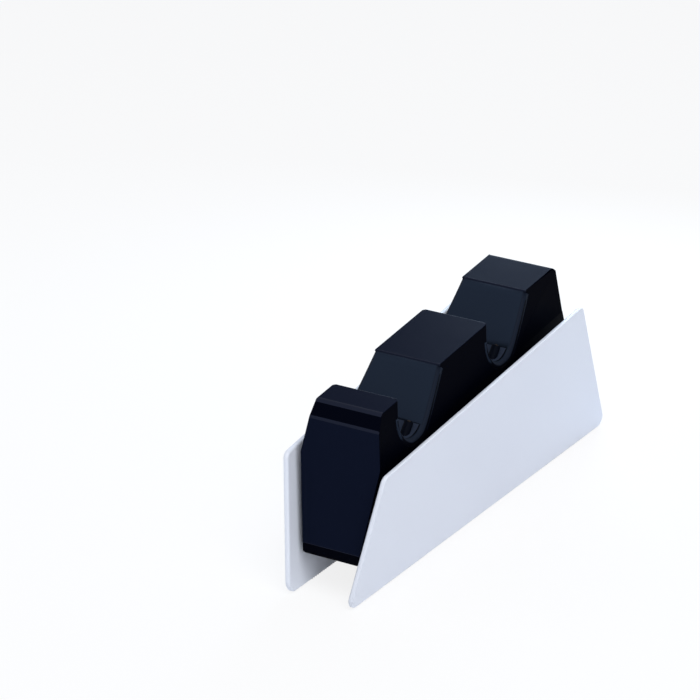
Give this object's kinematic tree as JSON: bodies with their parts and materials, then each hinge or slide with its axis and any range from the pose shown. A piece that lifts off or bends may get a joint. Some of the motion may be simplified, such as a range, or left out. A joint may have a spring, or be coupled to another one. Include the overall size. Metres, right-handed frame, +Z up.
{
  "type": "controller charging dock",
  "caption": "Slim charging dock: a black housing with cradles for game controllers, carried between leaning white side plates.",
  "frame": {"origin": "centre of the dock's footprint, on the surface that it stands on", "axes": "+Z up, +Y along the dock towards its tall rear end, +X to the right seen from the front"},
  "size_m": [0.0424, 0.1676, 0.0719],
  "materials": {
    "housing": "smooth satin black moulding",
    "cover": "fine matte black moulding",
    "side_plate": "smooth satin white moulding",
    "cradle": "fine matte texture",
    "carrier": "fine matte texture",
    "contact": "gold-plated turned pin",
    "board": "green solder mask",
    "screw": "zinc-plated steel",
    "ballast": "plain steel bar",
    "foot": "soft grey rubber",
    "lead": "flat ribbon lead",
    "inlet": "black moulded socket"
  },
  "bodies": {
    "root": {"main_shell": "housing", "base_cover": "cover", "cover_screws": "screw", "left_side_plate": "side_plate", "right_side_plate": "side_plate", "control_board": "board", "power_inlet": "inlet", "inlet_pin": "contact", "front_lead": "lead", "rear_lead": "lead", "front_cradle": "cradle", "front_terminal_carrier": "carrier", "front_left_contact": "contact", "front_right_contact": "contact", "front_terminal_board": "board", "front_terminal_screw": "screw", "front_ballast": "ballast", "front_left_foot_strip": "foot", "front_right_foot_strip": "foot", "rear_cradle": "cradle", "rear_terminal_carrier": "carrier", "rear_left_contact": "contact", "rear_right_contact": "contact", "rear_terminal_board": "board", "rear_terminal_screw": "screw", "rear_ballast": "ballast", "rear_left_foot_strip": "foot", "rear_right_foot_strip": "foot"}
  },
  "joints": []
}
